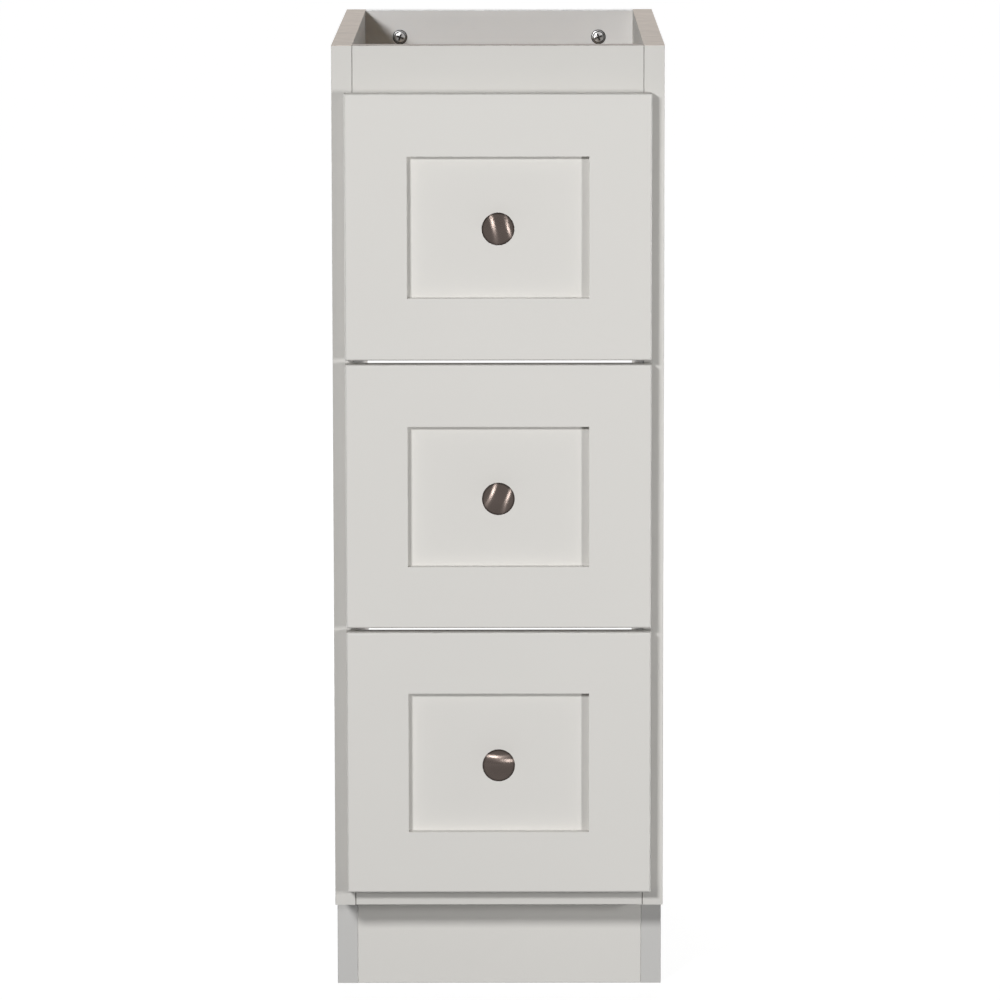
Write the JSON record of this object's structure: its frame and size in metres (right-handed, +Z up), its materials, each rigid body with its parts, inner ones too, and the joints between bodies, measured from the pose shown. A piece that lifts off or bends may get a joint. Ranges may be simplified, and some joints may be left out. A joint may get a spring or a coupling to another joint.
{
  "type": "vanity drawer base cabinet",
  "caption": "Narrow painted vanity base cabinet with a stack of framed-panel drawers, round metal knobs, open top, open back and recessed toe kick.",
  "frame": {"origin": "on the floor, at the centre of the whole part's footprint with its knobs", "axes": "+Z up, -Y out of the drawer fronts, +X to the right as the drawers are faced"},
  "size_m": [0.3048, 0.57, 0.889],
  "materials": {
    "warm_grey_paint": "satin paint",
    "maple": "clear lacquer",
    "beech": "bare",
    "satin_nickel": "brushed",
    "bright_steel": "polished",
    "zinc_steel": "zinc plated",
    "clear_rubber": "soft matte"
  },
  "bodies": {
    "cabinet": {"left_side_panel": "warm_grey_paint", "right_side_panel": "warm_grey_paint", "case_bottom": "warm_grey_paint", "front_top_rail": "warm_grey_paint", "rear_top_rail": "warm_grey_paint", "rear_lower_rail": "warm_grey_paint", "toe_kick_board": "warm_grey_paint", "rear_rail_screws": "bright_steel", "carcass_dowels": "beech", "case_slide_screws": "bright_steel", "front_bumpers": "clear_rubber", "case_slides": "zinc_steel"},
    "bottom_drawer": {"bottom_left_stile": "warm_grey_paint", "bottom_right_stile": "warm_grey_paint", "bottom_upper_rail": "warm_grey_paint", "bottom_lower_rail": "warm_grey_paint", "bottom_centre_panel": "warm_grey_paint", "bottom_box_front": "maple", "bottom_box_back": "maple", "bottom_box_left_side": "maple", "bottom_box_right_side": "maple", "bottom_box_bottom": "maple", "bottom_knob": "satin_nickel", "bottom_knob_screw": "bright_steel", "bottom_drawer_screws": "bright_steel", "bottom_drawer_slides": "zinc_steel"},
    "bottom_slide_extension": {"bottom_floating_slides": "zinc_steel", "bottom_ball_cages": "bright_steel"},
    "middle_drawer": {"middle_left_stile": "warm_grey_paint", "middle_right_stile": "warm_grey_paint", "middle_upper_rail": "warm_grey_paint", "middle_lower_rail": "warm_grey_paint", "middle_centre_panel": "warm_grey_paint", "middle_box_front": "maple", "middle_box_back": "maple", "middle_box_left_side": "maple", "middle_box_right_side": "maple", "middle_box_bottom": "maple", "middle_knob": "satin_nickel", "middle_knob_screw": "bright_steel", "middle_drawer_screws": "bright_steel", "middle_drawer_slides": "zinc_steel"},
    "middle_slide_extension": {"middle_floating_slides": "zinc_steel", "middle_ball_cages": "bright_steel"},
    "top_drawer": {"top_left_stile": "warm_grey_paint", "top_right_stile": "warm_grey_paint", "top_upper_rail": "warm_grey_paint", "top_lower_rail": "warm_grey_paint", "top_centre_panel": "warm_grey_paint", "top_box_front": "maple", "top_box_back": "maple", "top_box_left_side": "maple", "top_box_right_side": "maple", "top_box_bottom": "maple", "top_knob": "satin_nickel", "top_knob_screw": "bright_steel", "top_drawer_screws": "bright_steel", "top_drawer_slides": "zinc_steel"},
    "top_slide_extension": {"top_floating_slides": "zinc_steel", "top_ball_cages": "bright_steel"}
  },
  "joints": [
    {"name": "bottom_drawer_slide", "type": "slide", "parent": "cabinet", "child": "bottom_drawer", "axis": [0, -1, 0], "range_m": [0, 0.45]},
    {"name": "bottom_extension_slide", "type": "slide", "parent": "cabinet", "child": "bottom_slide_extension", "axis": [0, -1, 0], "range_m": [0, 0.225]},
    {"name": "middle_drawer_slide", "type": "slide", "parent": "cabinet", "child": "middle_drawer", "axis": [0, -1, 0], "range_m": [0, 0.45]},
    {"name": "middle_extension_slide", "type": "slide", "parent": "cabinet", "child": "middle_slide_extension", "axis": [0, -1, 0], "range_m": [0, 0.225]},
    {"name": "top_drawer_slide", "type": "slide", "parent": "cabinet", "child": "top_drawer", "axis": [0, -1, 0], "range_m": [0, 0.45]},
    {"name": "top_extension_slide", "type": "slide", "parent": "cabinet", "child": "top_slide_extension", "axis": [0, -1, 0], "range_m": [0, 0.225]}
  ],
  "couplings": [
    {"joint": "bottom_extension_slide", "follows": "bottom_drawer_slide", "ratio": 0.5},
    {"joint": "middle_extension_slide", "follows": "middle_drawer_slide", "ratio": 0.5},
    {"joint": "top_extension_slide", "follows": "top_drawer_slide", "ratio": 0.5}
  ]
}
